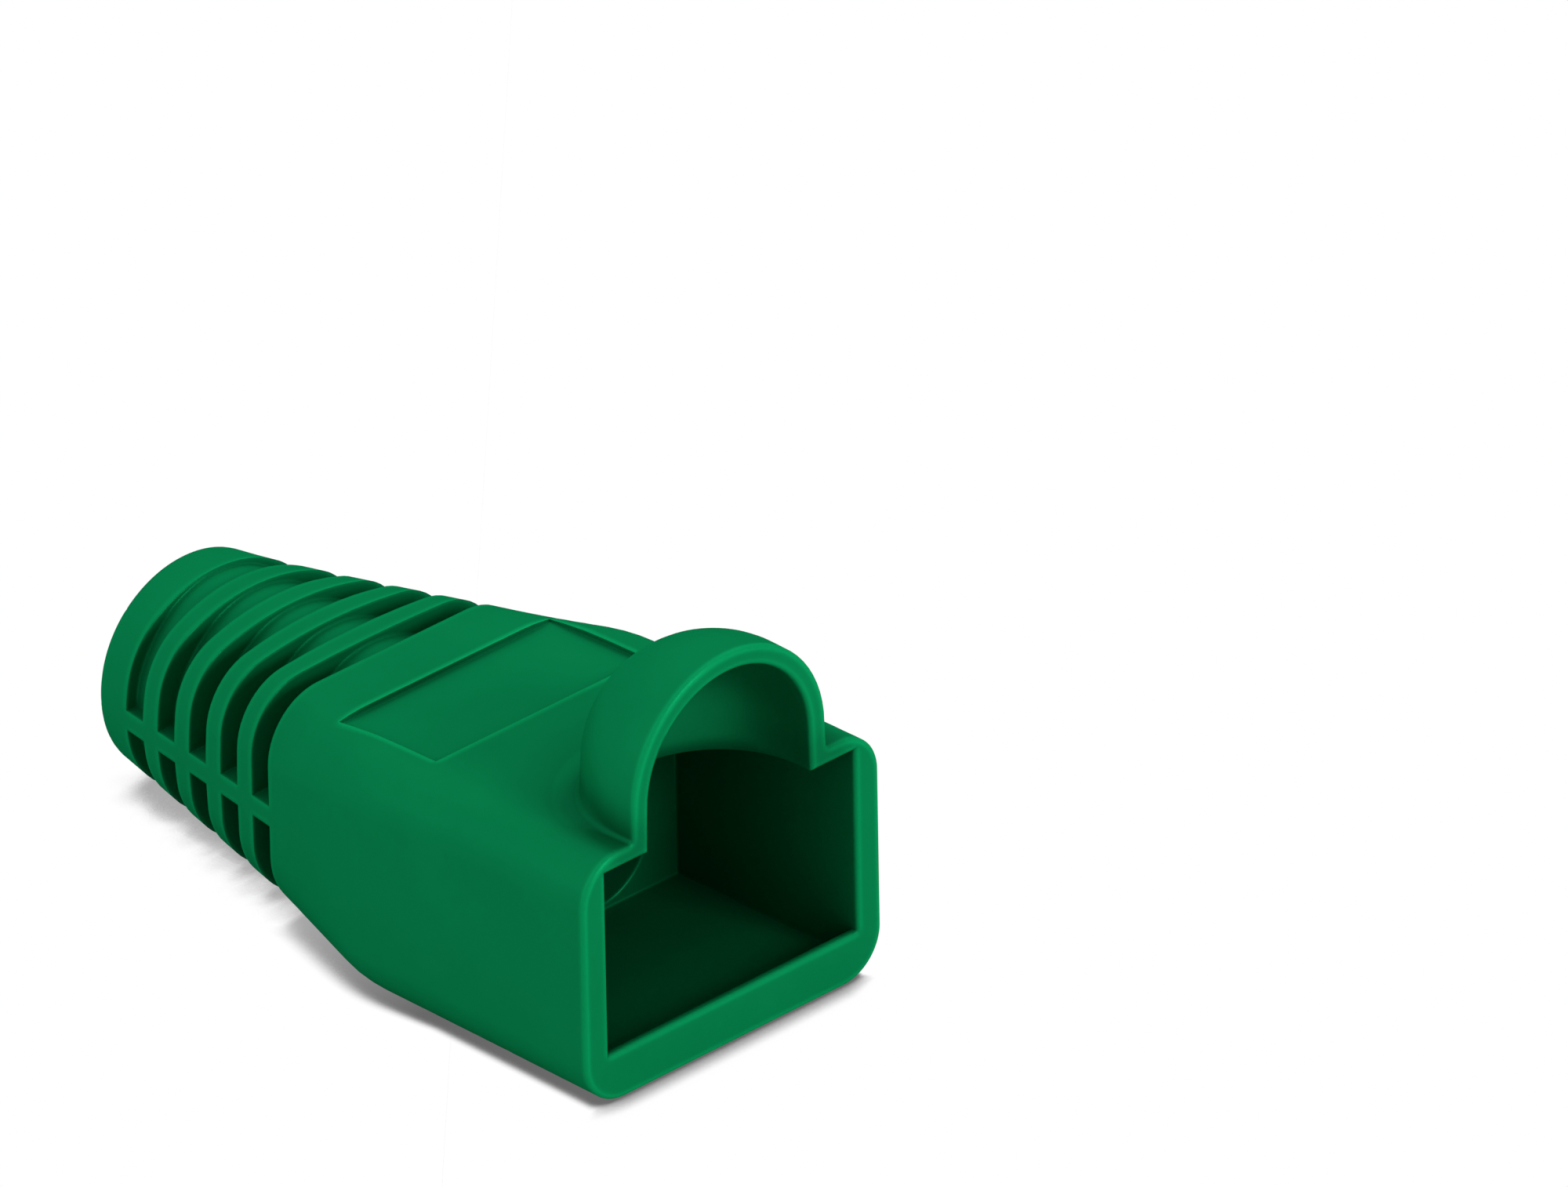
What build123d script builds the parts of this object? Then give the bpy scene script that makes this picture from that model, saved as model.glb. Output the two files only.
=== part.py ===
from build123d import *
import os

# Strain relief boot for an RJ45 plug, moulded in one piece of soft PVC.
# X runs across the boot, Y from the plug mouth to the cable end, Z up.
# While it is built, Y = 0 is the mouth's face and Z = 0 the flat underside.
# At the end it is moved so that the origin is under the middle of its length.
# All sizes are in millimetres.

# Plug pocket, and the walls around its mouth
pocket_width = 11.9
pocket_height = 8.4
pocket_depth = 8.8
pocket_side_draft = 0.3
pocket_top_draft = 0.2
side_wall = 1.1
floor_wall = 0.75
top_wall = 0.65
mouth_corner_radius = 1.8

# Lip on the pocket's floor, just inside the mouth
lip_height = 1.15
lip_top_length = 0.3
lip_length = 1.0

# Outer shape behind the mouth: how far each station lies inside the one before
body_length = 11.6
body_flare = 0.14
body_top_drop = 0.5
body_end_corner_radius = 1.7
taper_length = 5.48
taper_side_inset = 1.2
taper_top_drop = 0.41
taper_end_top_radius = 2.45
taper_end_bottom_radius = 2.85
shoulder_softness = 1.0

# Cable bore, the ring around its end and the funnel that leads into it
bore_radius = 2.9
bore_chamfer = 0.38
ring_wall = 1.23
ring_length = 1.8
ring_edge_radius = 0.35
funnel_length = 6.5
funnel_side_ledge = 1.35
funnel_top_ledge = 1.1
funnel_floor_ledge = 0.25
funnel_corner_radius = 2.35

# Flexible ribs: slots cut down to a round core, bridged by a spine each side
slot_count = 5
slot_width = 1.06
rib_width = 0.93
core_wall_at_taper = 1.2
core_wall_at_ring = 1.05
core_rise_at_taper = 0.4
core_rise_at_ring = 0.14
spine_height = 0.8
spine_rise_at_taper = 0.35
spine_rise_at_ring = -0.1

# Domed hood over the plug's latch
hood_ledge = 0.6
hood_flare = 0.07
hood_rise = 1.07
hood_setback = 0.85
hood_wall = 0.74
hood_foot_radius = 0.16
# How far down into the top wall the hood's foot reaches, as a share of that wall
hood_foot_share = 2 / 3

# Shallow rectangular panel pressed into the top
panel_width = 10.05
panel_length = 4.9
panel_start = 9.5
panel_depth = 0.2

# Rounding of the mouth's edges
outer_rim_radius = 0.13
inner_rim_radius = 0.18

# How far cutters reach past the surface that they cut through
reach = 1.0
# Tolerance when edges are picked by where they lie
pick_tolerance = 0.01
# Turn from the axis to a circle's split points, and a quarter turn, in degrees
split_turn = 4.0
quarter_turn = 90

mouth_width = pocket_width + 2 * side_wall
ceiling = floor_wall + pocket_height
mouth_height = ceiling + top_wall
body_end_width = mouth_width + 2 * body_flare
body_end_height = mouth_height - body_top_drop
taper_end_width = body_end_width - 2 * taper_side_inset
taper_end_height = body_end_height - taper_top_drop
taper_end = body_length + taper_length

ring_radius = bore_radius + ring_wall
ring_start = taper_end + slot_count * slot_width + (slot_count - 1) * rib_width
length = ring_start + ring_length

pocket_back_width = pocket_width - 2 * pocket_side_draft
pocket_back_ceiling = ceiling - pocket_top_draft
funnel_end = pocket_depth + funnel_length
funnel_width = pocket_back_width - 2 * funnel_side_ledge
funnel_floor = floor_wall + funnel_floor_ledge
funnel_height = pocket_back_ceiling - funnel_top_ledge - funnel_floor

hood_base_radius = mouth_width / 2 - mouth_corner_radius - hood_ledge
hood_radius = hood_base_radius - hood_flare
hood_centre_height = mouth_height + hood_rise


def across(y):
    """A plane across the boot at y, whose own axes are X and Z."""
    return Plane(origin=(0, y, 0), x_dir=(1, 0, 0), z_dir=(0, -1, 0))


def along(y, z):
    """A plane at y and z whose normal runs towards the cable end."""
    return Plane(origin=(0, y, z), x_dir=(1, 0, 0), z_dir=(0, 1, 0))


def rounded_section(y, width, height, top_radius, bottom_radius, base=0.0):
    """A rounded rectangle across the boot at y, which stands on Z = base."""
    side = width / 2
    top = base + height
    foot = base + bottom_radius
    with BuildLine(across(y)) as outline:
        CenterArc((side - top_radius, top - top_radius), top_radius, 0, quarter_turn)
        Line((side - top_radius, top), (top_radius - side, top))
        CenterArc((top_radius - side, top - top_radius), top_radius, quarter_turn, quarter_turn)
        Line((-side, top - top_radius), (-side, foot))
        CenterArc((bottom_radius - side, foot), bottom_radius, 2 * quarter_turn, quarter_turn)
        Line((bottom_radius - side, base), (side - bottom_radius, base))
        CenterArc((side - bottom_radius, foot), bottom_radius, 3 * quarter_turn, quarter_turn)
        Line((side, foot), (side, top - top_radius))
    return make_face(outline.line).face()


def round_section(y, radius, rise=0.0):
    """A circle at y, split like a rounded rectangle, that far above the ring's axis."""
    middle = (0, ring_radius + rise)
    with BuildLine(across(y)) as outline:
        for quarter in range(4):
            start = quarter_turn * quarter + split_turn
            end = start - 2 * split_turn + quarter_turn
            CenterArc(middle, radius, start, end - start)
            CenterArc(middle, radius, end, 2 * split_turn)
    return make_face(outline.line).face()


def plain_section(y, width, base, top):
    """A sharp-cornered rectangle across the boot at y."""
    with BuildLine(across(y)) as outline:
        Polyline((-width / 2, base), (width / 2, base), (width / 2, top), (-width / 2, top), close=True)
    return make_face(outline.line).face()


def side_slab(points, width):
    """A slab of the given width across the boot, from its outline in Y and Z."""
    with BuildLine(Plane.YZ) as outline:
        Polyline(*points, close=True)
    return extrude(make_face(outline.line), amount=width / 2, both=True)


def size_at(y, at_mouth, at_body_end, at_taper_end):
    """A size at y: straight between three stations, eased over at the middle one."""
    before = (at_body_end - at_mouth) / body_length
    after = (at_taper_end - at_body_end) / taper_length
    past = y - body_length
    if abs(past) >= shoulder_softness:
        return at_body_end + (before if past < 0 else after) * past
    easing = (after - before) * (past**2 + shoulder_softness**2) / (4 * shoulder_softness)
    return at_body_end + (before + after) / 2 * past + easing


def top_height(y):
    """Height of the flat top at y, ahead of the slots."""
    return size_at(y, mouth_height, body_end_height, taper_end_height)


def shoulder_stations():
    """Stations along Y that ease the body's side over into the taper."""
    return [body_length + step * shoulder_softness for step in (-1, -1 / 3, 1 / 3, 1)]


def body_section(y):
    """The outer shape across the boot at y, ahead of the slots."""
    return rounded_section(
        y,
        size_at(y, mouth_width, body_end_width, taper_end_width),
        top_height(y),
        size_at(y, mouth_corner_radius, body_end_corner_radius, taper_end_top_radius),
        size_at(y, mouth_corner_radius, body_end_corner_radius, taper_end_bottom_radius),
    )


def envelope():
    """The outer shape without hood and slots."""
    stations = [0, *shoulder_stations(), taper_end]
    sections = [body_section(y) for y in stations]
    return loft([*sections, round_section(length, ring_radius)], ruled=True)


def dome(radius, base_radius, foot):
    """A half-round dome above Z = foot: a straight front, then a quarter ball."""
    top = hood_centre_height + radius
    with BuildLine(across(0)) as outline:
        Line((0, foot), (base_radius, foot))
        Line((base_radius, foot), (radius, hood_centre_height))
        CenterArc((0, hood_centre_height), radius, 0, quarter_turn)
        Line((0, top), (0, foot))
    half = make_face(outline.line).face()
    front = extrude(half + mirror(half, about=Plane.YZ), amount=hood_setback, dir=(0, 1, 0))
    turning = Axis((0, hood_setback, 0), (0, 0, 1))
    back = revolve(Pos(0, hood_setback, 0) * half, axis=turning, revolution_arc=2 * quarter_turn)
    return front + back


def add_hood(body):
    """The hood's outside, with a small fillet where it stands on the top."""
    foot = mouth_height - hood_foot_share * top_wall
    body = body + dome(hood_radius, hood_base_radius, foot)
    lowest = top_height(hood_setback + hood_base_radius)
    seam = [
        edge
        for edge in body.edges()
        if lowest - pick_tolerance < edge.bounding_box().min.Z
        and edge.bounding_box().max.Z < mouth_height + pick_tolerance
        and abs(edge.center().X) < hood_base_radius + pick_tolerance
        and edge.center().Y > pick_tolerance
    ]
    return fillet(seam, hood_foot_radius)


def plan_slab(points, height):
    """A slab between Z = 0 and the given height, from its outline in X and Y."""
    with BuildLine(Plane.XY) as outline:
        Polyline(*points, close=True)
    return extrude(make_face(outline.line), amount=height, dir=(0, 0, 1))


def plug_space():
    """The pocket that holds the plug, and the space for its latch under the hood."""
    lip_top = floor_wall + lip_height
    side_outline = [
        (0, lip_top),
        (lip_top_length, lip_top),
        (lip_length, floor_wall),
        (pocket_depth, floor_wall),
        (pocket_depth, pocket_back_ceiling),
        (0, ceiling),
    ]
    wide, narrow = pocket_width / 2, pocket_back_width / 2
    plan_outline = [(-wide, 0), (wide, 0), (narrow, pocket_depth), (-narrow, pocket_depth)]
    pocket = side_slab(side_outline, mouth_width) & plan_slab(plan_outline, mouth_height)
    inside_pocket = ceiling - top_wall
    return pocket + dome(hood_radius - hood_wall, hood_base_radius - hood_wall, inside_pocket)


def cable_space():
    """The funnel behind the pocket and the straight bore that grips the cable."""
    wide = rounded_section(
        pocket_depth, funnel_width, funnel_height, funnel_corner_radius, funnel_corner_radius, funnel_floor
    )
    funnel = loft([wide, round_section(funnel_end, bore_radius)], ruled=True)
    bore = extrude(Circle(bore_radius), amount=length - funnel_end)
    return funnel + along(funnel_end, ring_radius) * bore


def panel():
    """The cutter for the sunken panel, whose floor follows the top."""
    end = panel_start + panel_length
    inner = [y for y in shoulder_stations() if panel_start < y < end]
    floor = [(y, top_height(y) - panel_depth) for y in [panel_start, *inner, end]]
    above = mouth_height + reach
    return side_slab([*floor, (end, above), (panel_start, above)], panel_width)


def core():
    """The round tube around the bore that the slots leave standing."""
    wide = round_section(taper_end, bore_radius + core_wall_at_taper, core_rise_at_taper)
    narrow = round_section(ring_start, bore_radius + core_wall_at_ring, core_rise_at_ring)
    return loft([wide, narrow], ruled=True)


def spines():
    """A slab right across the boot, whose two ends bridge the slots."""
    first = ring_radius + spine_rise_at_taper
    last = ring_radius + spine_rise_at_ring
    half = spine_height / 2
    outline = [
        (taper_end, first - half),
        (ring_start, last - half),
        (ring_start, last + half),
        (taper_end, first + half),
    ]
    return side_slab(outline, taper_end_width + 2 * reach)


def slot_cutters():
    """The slots between the ribs, less the round core and the two side spines."""
    kept = core() + spines()
    cutters = []
    for number in range(slot_count):
        start = taper_end + number * (slot_width + rib_width)
        sheet = plain_section(start, taper_end_width + 2 * reach, -reach, taper_end_height + reach)
        cutters.append(extrude(sheet, amount=slot_width, dir=(0, 1, 0)) - kept)
    return cutters


def mouth_face(body):
    """The flat face around the mouth."""
    return body.faces().filter_by(Axis.Y).sort_by(Axis.Y)[0]


def end_face(body):
    """The flat face around the bore at the cable end."""
    return body.faces().filter_by(Axis.Y).sort_by(Axis.Y)[-1]


def round_rims(body):
    """Round the mouth's edges and the end ring's edge, and chamfer the bore."""
    body = fillet(mouth_face(body).outer_wire().edges(), outer_rim_radius)
    body = fillet(mouth_face(body).inner_wires()[0].edges(), inner_rim_radius)
    body = fillet(end_face(body).outer_wire().edges(), ring_edge_radius)
    return chamfer(end_face(body).inner_wires()[0].edges(), bore_chamfer)


def strain_relief_boot():
    """The whole boot, standing on its underside with its origin under its middle."""
    body = add_hood(envelope())
    body = body - plug_space() - cable_space() - panel()
    for cutter in slot_cutters():
        body = body - cutter
    return Pos(0, -length / 2, 0) * round_rims(body)


os.makedirs("parts", exist_ok=True)
export_step(strain_relief_boot(), "parts/strain_relief_boot.step")
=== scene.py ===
import math

import bpy
from mathutils import Matrix, Vector


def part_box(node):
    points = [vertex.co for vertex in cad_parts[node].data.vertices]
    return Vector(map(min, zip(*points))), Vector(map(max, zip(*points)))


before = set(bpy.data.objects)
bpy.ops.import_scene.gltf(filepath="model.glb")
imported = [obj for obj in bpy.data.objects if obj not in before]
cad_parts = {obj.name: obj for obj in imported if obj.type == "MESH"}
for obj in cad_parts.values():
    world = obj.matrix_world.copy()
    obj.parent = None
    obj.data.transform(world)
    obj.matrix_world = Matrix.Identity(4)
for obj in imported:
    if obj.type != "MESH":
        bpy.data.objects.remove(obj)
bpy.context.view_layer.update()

MM = 0.001

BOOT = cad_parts["strain_relief_boot"]
MOUTH_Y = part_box("strain_relief_boot")[0].y

# The camera, as fitted to the boot's edges
CAMERA_AZIMUTH = -43.306
CAMERA_ELEVATION = 29.817
CAMERA_ROLL = math.radians(-1.044)
CAMERA_DISTANCE = 1.02318
CLIP_START, CLIP_END = 0.01, 20.0
IMAGE_WIDTH, IMAGE_HEIGHT = 2000, 1514
PIXELS_PER_METRE = 36860.49
# Where the middle of the mouth's lower edge shows, in pixels
MOUTH_FOOT_U, MOUTH_FOOT_V = 938.0, 1327.713
SENSOR_WIDTH = 36.0

# The PVC's green where its mottle is darkest and lightest, and the noise at those ends
MOTTLE_GREENS = ((0.0009, 0.158, 0.0505, 1), (0.0011, 0.172, 0.0550, 1))
MOTTLE_ENDS = (0.32, 0.68)
# The green of its sheen, and its roughness in the glossiest and the dullest patches
SHEEN_GREEN = (0.0015, 0.06, 0.022, 1)
ROUGHNESS = (0.36, 0.46)
# Mottle, dull patches, moulded grain and faint waves
MOTTLE = {"Scale": 260.0, "Detail": 4.0, "Roughness": 0.55}
DULL_PATCHES = {"Scale": 420.0, "Detail": 3.0, "Roughness": 0.6}
GRAIN = {"Scale": 9000.0, "Detail": 3.0, "Roughness": 0.6}
WAVES = {"Scale": 520.0, "Detail": 2.0, "Roughness": 0.5}
# How strongly grain and waves bend the light, and how high they stand
GRAIN_BUMP = {"Strength": 0.12, "Distance": 0.02 * MM}
WAVE_BUMP = {"Strength": 0.25, "Distance": 0.06 * MM}

# Rounding of the edges that the mould leaves crisp
EDGE_RADIUS = 0.2 * MM
ROUNDING_SAMPLES = 8

# How far the painted shade of hollows and creases and the painted highlight of rims reach around
# a point
HOLLOW_REACH = 12.0 * MM
CREASE_REACH = 3.5 * MM
RIM_REACH = 0.3 * MM
OPENNESS_SAMPLES = 4
# From one openness to another, and the painted shade in the colour at each
HOLLOW_SHADE_TONES = (0.0, 1.0, 0.26, 1.0)
CREASE_SHADE_TONES = (0.45, 1.0, 0.34, 1.0)
# The same for the painted highlight on rims, and for how much of it is added in the open
RIM_HIGHLIGHT_TONES = (0.95, 0.6, 0.0, 1.2)
RIM_IN_THE_OPEN = (0.7, 0.97, 0.0, 1.0)

# The slotted ribs: where they start along Y, how dark the painted shade in the slots gets, and
# how much painted highlight the ribs' rims keep
RIBS_START = (MOUTH_Y + 15.5 * MM, MOUTH_Y + 16.8 * MM)
SLOT_SHADE_TONE = 0.66
RIB_RIM_HIGHLIGHT = 0.35

# The line where the hood stands on the top, and the heights at which it starts
HOOD_CENTRE_Y = MOUTH_Y + 0.85 * MM
HOOD_FOOT_RADIUS = 4.7 * MM
HOOD_FOOT_HEIGHTS = (8.6 * MM, 9.2 * MM)
HOOD_FOOT_TOP = 9.8 * MM

# The painted shade of the soft crease along its front: reach, tone, and where it fades out along
# Y
FOOT_SHADE_REACH = 1.7 * MM
FOOT_SHADE_TONE = 0.65
FOOT_SHADE_FADE = (MOUTH_Y + 3.8 * MM, MOUTH_Y + 6.4 * MM)

# The soft blend behind it: radius, reach from the line, and where it grows along Y
HOOD_BLEND_RADIUS = 1.2 * MM
HOOD_BLEND_REACH = (0.6 * MM, 1.6 * MM)
HOOD_BLEND_RISE = (MOUTH_Y + 0.4 * MM, MOUTH_Y + 3.4 * MM)

# The white floor, and the paler grey that it throws back on the boot
WHITE = (1.0, 1.0, 1.0, 1.0)
FLOOR_GREY = (0.55, 0.55, 0.55, 1)
FLOOR_HALF = 3.0
FLOOR_GAP = 0.01 * MM

# Reach of the boot's painted shadow on the floor: from one Y to another, and the reach at each
SHADE_IN_FRONT = (MOUTH_Y - 0.3 * MM, MOUTH_Y + 0.5 * MM, 1.25 * MM, 0.0)
SHADE_ALONG = (MOUTH_Y + 8.0 * MM, MOUTH_Y + 20.0 * MM, 0.6 * MM, 1.9 * MM)
# The part of that reach that is left past the mouth's right corner, along X
SHADE_AT_CORNER = (5.0 * MM, 7.2 * MM, 1.0, 0.2)
# How dark the painted shadow gets: from one Y to another, and the light that is left at each
SHADE_DEPTH = (MOUTH_Y + 9.0 * MM, MOUTH_Y + 17.0 * MM, 0.14, 0.4)
# How open the floor is where the shadow ends, again from Y to Y, and where it is darkest
SHADE_EDGE = (MOUTH_Y + 8.0 * MM, MOUTH_Y + 20.0 * MM, 0.88, 0.68)
SHADE_CORE = 0.5
SHADE_SAMPLES = 8

# Strength of the surroundings' light from the mouth's side and from the cable end's
FRONT_LIGHT = 0.4
BACK_LIGHT = 1.13
SOFTBOX_DISTANCE = 0.5


class Nodes:
    """An emptied node tree, with short ways to add nodes and to feed their sockets."""

    def __init__(self, owner):
        owner.use_nodes = True
        self.tree = owner.node_tree
        self.tree.nodes.clear()

    def feed(self, value, socket):
        """Link another node's output to a socket, or give the socket its own value."""
        if isinstance(value, bpy.types.NodeSocket):
            self.tree.links.new(value, socket)
        else:
            socket.default_value = value

    def add(self, kind, **values):
        """A new node, with its settings and what its sockets get."""
        node = self.tree.nodes.new(kind)
        for name, value in values.items():
            if hasattr(node, name):
                setattr(node, name, value)
            else:
                self.feed(value, node.inputs[name])
        return node

    def math(self, operation, *values):
        """The result of a sum with one to three values."""
        node = self.add("ShaderNodeMath", operation=operation)
        for value, socket in zip(values, node.inputs):
            self.feed(value, socket)
        return node.outputs["Value"]

    def product(self, first, *others):
        """The product of several values."""
        for other in others:
            first = self.math("MULTIPLY", first, other)
        return first

    def length(self, x, y):
        """The length of a flat vector."""
        flat = self.add("ShaderNodeCombineXYZ", X=x, Y=y)
        vector = self.add("ShaderNodeVectorMath", operation="LENGTH")
        self.feed(flat.outputs["Vector"], vector.inputs[0])
        return vector.outputs["Value"]

    def ranged(self, value, start, end, at_start, at_end, course="LINEAR"):
        """A value taken from one number to another over a range, and held beyond it."""
        node = self.add("ShaderNodeMapRange", interpolation_type=course, Value=value)
        self.feed(start, node.inputs["From Min"])
        self.feed(end, node.inputs["From Max"])
        self.feed(at_start, node.inputs["To Min"])
        self.feed(at_end, node.inputs["To Max"])
        return node.outputs["Result"]

    def eased(self, value, *span):
        """The same, but eased at both ends."""
        return self.ranged(value, *span, course="SMOOTHSTEP")

    def place(self, space):
        """A point's place in that space, as a vector and as its X, Y and Z."""
        vector = self.add("ShaderNodeTexCoord").outputs[space]
        return vector, self.add("ShaderNodeSeparateXYZ", Vector=vector).outputs

    def noise(self, vector, settings):
        """A soft noise between 0 and 1."""
        return self.add("ShaderNodeTexNoise", Vector=vector, **settings).outputs["Fac"]

    def openness(self, reach, samples, **settings):
        """How open the space around a point is: 1 in the open, less in a corner."""
        node = self.add("ShaderNodeAmbientOcclusion", samples=samples, Distance=reach, **settings)
        return node.outputs["AO"]

    def mix(self, factor, first, second):
        """The first shader where the factor is 0, the second where it is 1."""
        node = self.add("ShaderNodeMixShader", Fac=factor)
        self.feed(first, node.inputs[1])
        self.feed(second, node.inputs[2])
        return node.outputs["Shader"]


def hood_foot(nodes, x, y, z):
    """Distance from the hood's foot line as seen from above, and 1 only near the top."""
    behind = nodes.math("MAXIMUM", nodes.math("SUBTRACT", y, HOOD_CENTRE_Y), 0.0)
    past = nodes.math("SUBTRACT", nodes.length(x, behind), HOOD_FOOT_RADIUS)
    return nodes.math("ABSOLUTE", past), nodes.eased(z, *HOOD_FOOT_HEIGHTS, 0.0, 1.0)


def foot_shade(nodes, aside, high, y, z):
    """The tone of the painted shade in the soft crease along the front of the hood's foot."""
    rise = nodes.math("MAXIMUM", nodes.math("SUBTRACT", z, HOOD_FOOT_TOP), 0.0)
    near = nodes.eased(nodes.length(aside, rise), 0.0, FOOT_SHADE_REACH, 1.0, 0.0)
    in_front = nodes.eased(y, *FOOT_SHADE_FADE, 1.0, 0.0)
    shaded = nodes.product(near, high, in_front)
    return nodes.eased(shaded, 0.0, 1.0, 1.0, FOOT_SHADE_TONE)


def foot_blend(nodes, aside, high, y):
    """How much the hood blends into the top: 1 at the back of its foot, 0 away from it."""
    close = nodes.eased(aside, *HOOD_BLEND_REACH, 1.0, 0.0)
    behind = nodes.eased(y, *HOOD_BLEND_RISE, 0.0, 1.0)
    return nodes.product(close, high, behind)


def painted_shade_and_highlights(nodes, y, blend):
    """Painted shade and painted highlight in the colour: darker in hollows, creases and slots,
    and lighter on open rims.
    """
    around = nodes.openness(HOLLOW_REACH, OPENNESS_SAMPLES, only_local=True)
    deep = nodes.eased(around, *HOLLOW_SHADE_TONES)
    close = nodes.openness(CREASE_REACH, OPENNESS_SAMPLES, only_local=True)
    crease = nodes.math("MAXIMUM", nodes.ranged(close, *CREASE_SHADE_TONES), blend)
    in_slots = nodes.eased(y, *RIBS_START, 0.0, SLOT_SHADE_TONE)
    # Painted shade: the colour is darkened in hollows and creases, and less so in the slots
    darker = nodes.math("MAXIMUM", nodes.math("MINIMUM", deep, crease), in_slots)

    # Painted highlight: the colour is lightened on thin, open rims
    thickness = nodes.openness(RIM_REACH, OPENNESS_SAMPLES, only_local=True, inside=True)
    rim = nodes.ranged(thickness, *RIM_HIGHLIGHT_TONES)
    in_the_open = nodes.eased(around, *RIM_IN_THE_OPEN)
    on_body = nodes.eased(y, *RIBS_START, 1.0, RIB_RIM_HIGHLIGHT)
    lighter = nodes.math("MULTIPLY_ADD", rim, nodes.product(in_the_open, on_body), 1.0)
    return nodes.product(lighter, darker)


def soft_pvc():
    """Satin green soft PVC with a faint mottle, a fine moulded grain, softened edges, and shade
    and highlights painted into its colour.
    """
    material = bpy.data.materials.new("soft_pvc")
    nodes = Nodes(material)
    vector, (x, y, z) = nodes.place("Object")
    aside, high = hood_foot(nodes, x, y, z)
    blend = foot_blend(nodes, aside, high, y)

    mottle = nodes.add("ShaderNodeValToRGB", Fac=nodes.noise(vector, MOTTLE))
    for end, position, green in zip(mottle.color_ramp.elements, MOTTLE_ENDS, MOTTLE_GREENS):
        end.position = position
        end.color = green
    # The painted shade and painted highlight scale the mottled colour
    shade = nodes.product(painted_shade_and_highlights(nodes, y, blend), foot_shade(nodes, aside, high, y, z))
    tone = nodes.add("ShaderNodeVectorMath", operation="SCALE", Scale=shade)
    nodes.feed(mottle.outputs["Color"], tone.inputs[0])

    radius = nodes.eased(blend, 0.0, 1.0, EDGE_RADIUS, HOOD_BLEND_RADIUS)
    rounded = nodes.add("ShaderNodeBevel", samples=ROUNDING_SAMPLES, Radius=radius)
    grain = nodes.add("ShaderNodeBump", Height=nodes.noise(vector, GRAIN), **GRAIN_BUMP)
    nodes.feed(rounded.outputs["Normal"], grain.inputs["Normal"])
    waves = nodes.add("ShaderNodeBump", Height=nodes.noise(vector, WAVES), **WAVE_BUMP)
    nodes.feed(grain.outputs["Normal"], waves.inputs["Normal"])
    roughness = nodes.ranged(nodes.noise(vector, DULL_PATCHES), 0.0, 1.0, *ROUGHNESS)

    finish = {"Roughness": roughness, "Normal": waves.outputs["Normal"]}
    body = nodes.add("ShaderNodeBsdfPrincipled", **finish)
    nodes.feed(0.0, body.inputs["Specular IOR Level"])
    nodes.feed(tone.outputs["Vector"], body.inputs["Base Color"])
    sheen = nodes.add("ShaderNodeBsdfGlossy", Color=SHEEN_GREEN, **finish)
    both = nodes.add("ShaderNodeAddShader")
    nodes.feed(body.outputs["BSDF"], both.inputs[0])
    nodes.feed(sheen.outputs["BSDF"], both.inputs[1])
    nodes.add("ShaderNodeOutputMaterial", Surface=both.outputs["Shader"])
    return material


def painted_contact_shadow(nodes):
    """The boot's painted shadow on the floor, from how open the floor is nearby: it reaches far
    in front and less along the sides.
    """
    _, (x, y, _) = nodes.place("Object")
    in_front = nodes.ranged(y, *SHADE_IN_FRONT)
    longer = nodes.math("MAXIMUM", in_front, nodes.ranged(y, *SHADE_ALONG))
    reach = nodes.product(longer, nodes.ranged(x, *SHADE_AT_CORNER))
    near = nodes.openness(reach, SHADE_SAMPLES)
    edge = nodes.ranged(y, *SHADE_EDGE)
    return nodes.ranged(near, SHADE_CORE, edge, nodes.ranged(y, *SHADE_DEPTH), 1.0)


def white_floor():
    """White floor: the camera sees it as white, with the boot's close shadow painted on it."""
    material = bpy.data.materials.new("white_floor")
    nodes = Nodes(material)
    paint = nodes.add("ShaderNodeBsdfDiffuse", Color=FLOOR_GREY)
    white = nodes.add("ShaderNodeBsdfDiffuse", Color=WHITE)
    # The camera sees an emission whose strength is the painted shadow
    shown = nodes.add("ShaderNodeEmission", Strength=painted_contact_shadow(nodes))
    ray = nodes.add("ShaderNodeLightPath").outputs
    mirrored = nodes.math("MAXIMUM", ray["Is Glossy Ray"], ray["Is Transmission Ray"])
    indirect = nodes.mix(mirrored, paint.outputs["BSDF"], white.outputs["BSDF"])
    surface = nodes.mix(ray["Is Camera Ray"], indirect, shown.outputs["Emission"])
    nodes.add("ShaderNodeOutputMaterial", Surface=surface)
    return material


def make_floor():
    """The floor that the boot stands on."""
    half = FLOOR_HALF
    mesh = bpy.data.meshes.new("floor")
    corners = [(-half, -half, 0), (half, -half, 0), (half, half, 0), (-half, half, 0)]
    mesh.from_pydata(corners, [], [(0, 1, 2, 3)])
    floor = bpy.data.objects.new("floor", mesh)
    bpy.context.scene.collection.objects.link(floor)
    floor.location.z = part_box("strain_relief_boot")[0].z - FLOOR_GAP
    mesh.materials.append(white_floor())


def make_world():
    """White surroundings for the camera, and a pale light that is softer from the front."""
    world = bpy.data.worlds.new("studio")
    bpy.context.scene.world = world
    nodes = Nodes(world)
    _, (_, y, _) = nodes.place("Generated")
    strength = nodes.ranged(y, -1.0, 1.0, FRONT_LIGHT, BACK_LIGHT)
    light = nodes.add("ShaderNodeBackground", Strength=strength)
    white = nodes.add("ShaderNodeBackground", Color=WHITE, Strength=1.0)
    ray = nodes.add("ShaderNodeLightPath").outputs
    backgrounds = light.outputs["Background"], white.outputs["Background"]
    surface = nodes.mix(ray["Is Camera Ray"], *backgrounds)
    nodes.add("ShaderNodeOutputWorld", Surface=surface)


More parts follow.
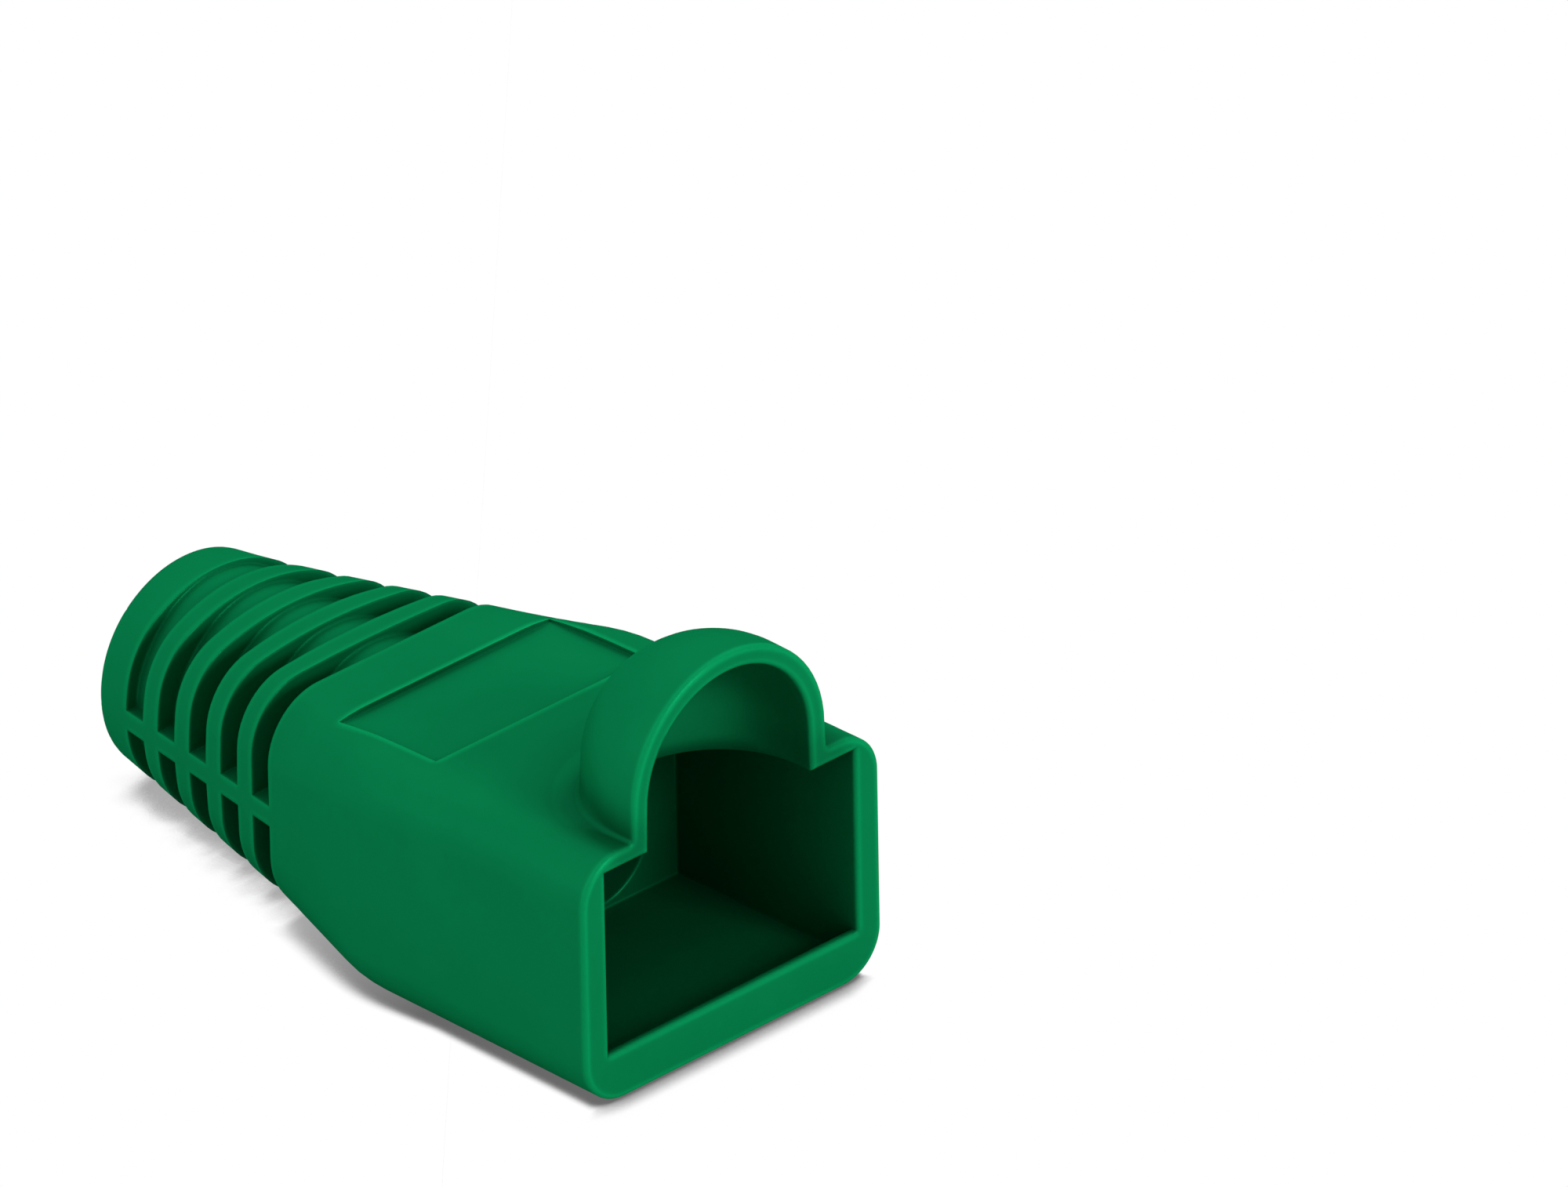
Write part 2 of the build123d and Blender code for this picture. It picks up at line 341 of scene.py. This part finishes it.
def outward(azimuth, elevation):
    """The direction from the boot towards those angles, given in degrees."""
    a, e = math.radians(azimuth), math.radians(elevation)
    return Vector((math.sin(a) * math.cos(e), -math.cos(a) * math.cos(e), math.sin(e)))


def make_softbox(name, azimuth, elevation, size, watts):
    """A square soft light that faces the boot, placed by its angles in degrees."""
    light = bpy.data.lights.new(name, "AREA")
    light.shape = "SQUARE"
    light.size = size
    light.energy = watts
    lamp = bpy.data.objects.new(name, light)
    bpy.context.scene.collection.objects.link(lamp)
    back = outward(azimuth, elevation)
    lamp.location = back * SOFTBOX_DISTANCE
    lamp.rotation_mode = "QUATERNION"
    lamp.rotation_quaternion = (-back).to_track_quat("-Z", "Y")


def make_camera():
    """The camera at the fitted angle, with the boot where the image has it."""
    back = outward(CAMERA_AZIMUTH, CAMERA_ELEVATION)
    level_right = Vector((-back.y, back.x, 0)).normalized()
    level_up = back.cross(level_right)
    turn, lean = math.cos(CAMERA_ROLL), math.sin(CAMERA_ROLL)
    right = turn * level_right + lean * level_up
    up = turn * level_up - lean * level_right
    aside = (MOUTH_FOOT_U - IMAGE_WIDTH / 2) / PIXELS_PER_METRE
    above = (IMAGE_HEIGHT / 2 - MOUTH_FOOT_V) / PIXELS_PER_METRE
    place = Vector((0, MOUTH_Y, 0)) - aside * right - above * up + CAMERA_DISTANCE * back

    data = bpy.data.cameras.new("camera")
    data.sensor_width = SENSOR_WIDTH
    data.lens = PIXELS_PER_METRE * CAMERA_DISTANCE * SENSOR_WIDTH / IMAGE_WIDTH
    data.clip_start, data.clip_end = CLIP_START, CLIP_END
    camera = bpy.data.objects.new("camera", data)
    bpy.context.scene.collection.objects.link(camera)
    axes = Matrix((right, up, back)).transposed()
    camera.matrix_world = Matrix.Translation(place) @ axes.to_4x4()
    bpy.context.scene.camera = camera


BOOT.data.materials.clear()
BOOT.data.materials.append(soft_pvc())
make_floor()
make_world()
make_softbox("front", azimuth=7, elevation=26, size=0.15, watts=1.17)
make_softbox("right", azimuth=95, elevation=50, size=0.3, watts=0.32)
make_softbox("left", azimuth=-110, elevation=25, size=0.3, watts=0.24)
make_camera()
bpy.context.scene.view_settings.view_transform = "Standard"
